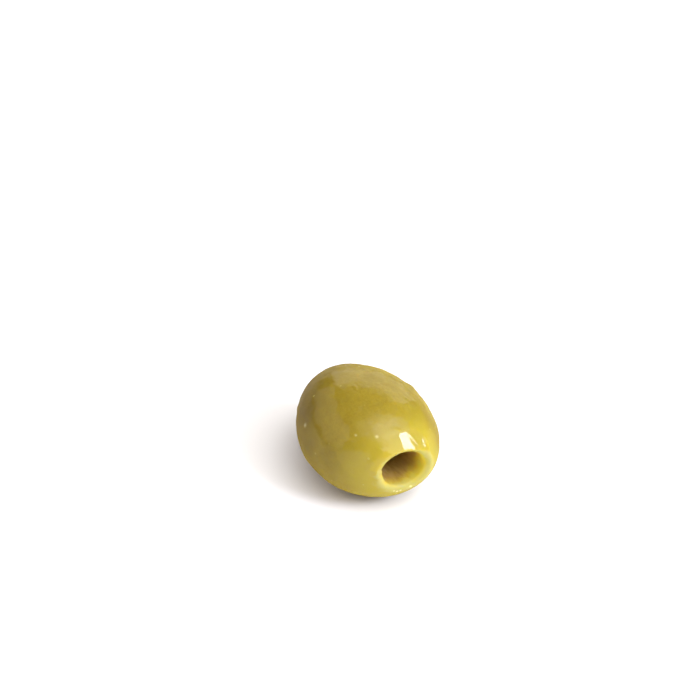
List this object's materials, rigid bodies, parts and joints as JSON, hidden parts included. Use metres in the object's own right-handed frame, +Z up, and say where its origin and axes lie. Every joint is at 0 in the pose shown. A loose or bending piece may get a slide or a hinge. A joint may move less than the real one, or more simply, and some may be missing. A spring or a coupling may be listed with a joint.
{
  "type": "pitted green olive",
  "caption": "Pitted green olive lying on its side, with a round bored hole at one end, a hollow inside, and a soft nub and crossed knife cut at the tip.",
  "frame": {"origin": "on the surface that the olive rests on, below the middle of its bounding box", "axes": "+X along the long axis, out of the bored hole; +Z up; the hole end stands raised by 4 degrees, as the fruit rests"},
  "size_m": [0.0248, 0.0188, 0.0162],
  "materials": {
    "olive_skin": "gloss"
  },
  "bodies": {
    "root": {"olive": "olive_skin"}
  },
  "joints": []
}
